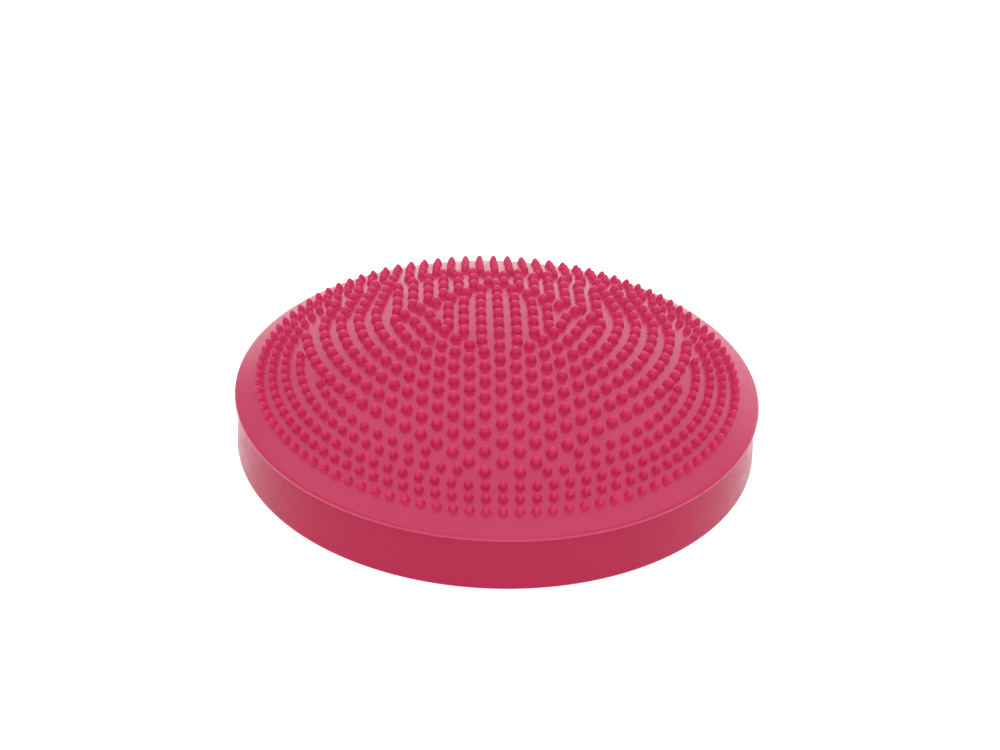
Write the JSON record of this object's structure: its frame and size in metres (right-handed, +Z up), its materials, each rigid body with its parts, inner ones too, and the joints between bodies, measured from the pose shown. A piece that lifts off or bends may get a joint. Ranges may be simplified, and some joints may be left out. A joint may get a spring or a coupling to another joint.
{
  "type": "balance dome trainer",
  "caption": "Inflatable round balance dome with a nubbed, domed top skin, a straight side wall, a flat base and a plugged air valve in the rear.",
  "frame": {"origin": "centre of the flat base, on the floor", "axes": "+Z up along the dome's axis; -Y towards the point of the nub field; the air valve is at +Y"},
  "size_m": [0.33, 0.33, 0.0779],
  "materials": {
    "pvc_top": "soft, slightly translucent pink PVC skin with a satin sheen",
    "pvc_nubs": "solid crimson PVC nubs, moulded in one with the skin",
    "pvc_wall": "smooth crimson PVC, satin to glossy",
    "valve_rubber": "matte black rubber",
    "valve_stopper": "crimson push-in stopper, satin"
  },
  "bodies": {
    "base": {"side_wall": "pvc_wall", "bottom_membrane": "pvc_wall", "grip_dots": "pvc_nubs", "valve_seat": "pvc_wall", "valve_core": "valve_rubber"},
    "top": {"top_membrane": "pvc_top", "field_nubs": "pvc_nubs", "ring_nubs": "pvc_nubs"},
    "plug": {"valve_plug": "valve_stopper"}
  },
  "joints": [
    {"name": "dome_press", "type": "slide", "parent": "base", "child": "top", "axis": [0, 0, -1], "range_m": [0, 0.008], "stiffness_N_per_m": 40000, "deforming": ["side_wall"]},
    {"name": "valve_pull", "type": "slide", "parent": "base", "child": "plug", "axis": [0, 1, 0], "range_m": [0, 0.03]}
  ]
}
